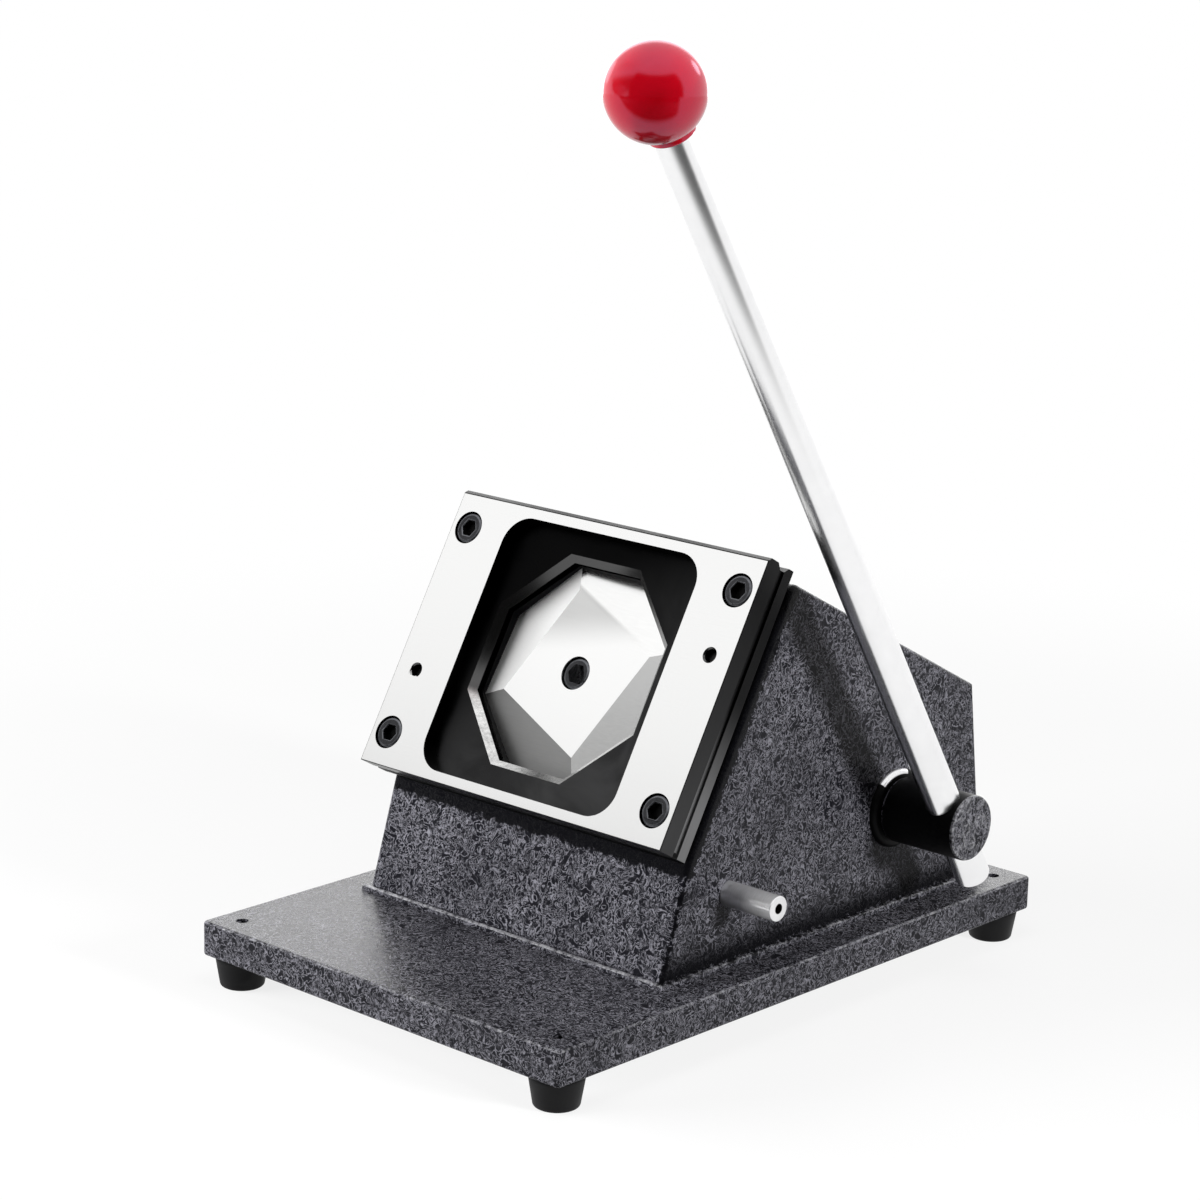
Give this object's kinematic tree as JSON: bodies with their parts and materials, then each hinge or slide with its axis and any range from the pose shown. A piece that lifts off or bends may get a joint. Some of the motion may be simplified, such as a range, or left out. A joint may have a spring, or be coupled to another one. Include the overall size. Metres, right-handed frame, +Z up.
{
  "type": "lever die cutter",
  "caption": "Bench die cutter: a hand lever turns a cross shaft whose eccentric pushes an octagonal punch through a leaning die plate on a painted cast body with rubber feet.",
  "frame": {"origin": "top face of the base plate, at the centre of its four corner holes", "axes": "+Z up, -Y towards the user, +X towards the lever's side"},
  "size_m": [0.2183, 0.28, 0.3757],
  "materials": {
    "hammertone_paint": "glossy charcoal hammertone paint on cast iron and steel",
    "ground_steel": "surface ground",
    "black_oxide": "black oxide",
    "bright_steel": "turned and polished",
    "plated_rod": "polished plating",
    "bush_bronze": "turned bronze",
    "black_rubber": "moulded",
    "red_plastic": "glossy moulded"
  },
  "bodies": {
    "frame": {"base_plate": "hammertone_paint", "body_casting": "hammertone_paint", "body_bolts": "black_oxide", "rubber_feet": "black_rubber", "foot_washers": "bright_steel", "foot_screws": "bright_steel", "die_block": "ground_steel", "slot_spacers": "black_oxide", "guide_plate": "black_oxide", "die_screws": "black_oxide", "dowel_pins": "black_oxide", "shaft_bush_right": "bright_steel", "shaft_bush_left": "bright_steel", "ram_bush": "bush_bronze", "return_spring": "bright_steel", "stop_pin": "bright_steel"},
    "lever": {"cross_shaft": "bright_steel", "lever_hub": "hammertone_paint", "eccentric_cam": "bright_steel", "shaft_keys": "bright_steel", "set_screws": "black_oxide", "lever_rod": "plated_rod", "ball_knob": "red_plastic", "shaft_ring": "bright_steel"},
    "ram": {"ram": "bright_steel", "follower_pad": "bright_steel", "punch": "ground_steel", "punch_screw": "black_oxide", "punch_dowels": "bright_steel"}
  },
  "joints": [
    {"name": "lever_hinge", "type": "hinge", "parent": "frame", "child": "lever", "pos_m": [0, 0.06867, 0.04083], "axis": [1, 0, 0], "range_deg": [0, 57.75]},
    {"name": "ram_slide", "type": "slide", "parent": "frame", "child": "ram", "axis": [0, -0.8712, 0.4909], "range_m": [0, 0.00773], "stiffness_N_per_m": 10000, "springref_m": -0.012, "deforming": ["return_spring"]}
  ],
  "couplings": [
    {"joint": "ram_slide", "follows": "lever_hinge", "m_per_rad": 0.0076656}
  ]
}
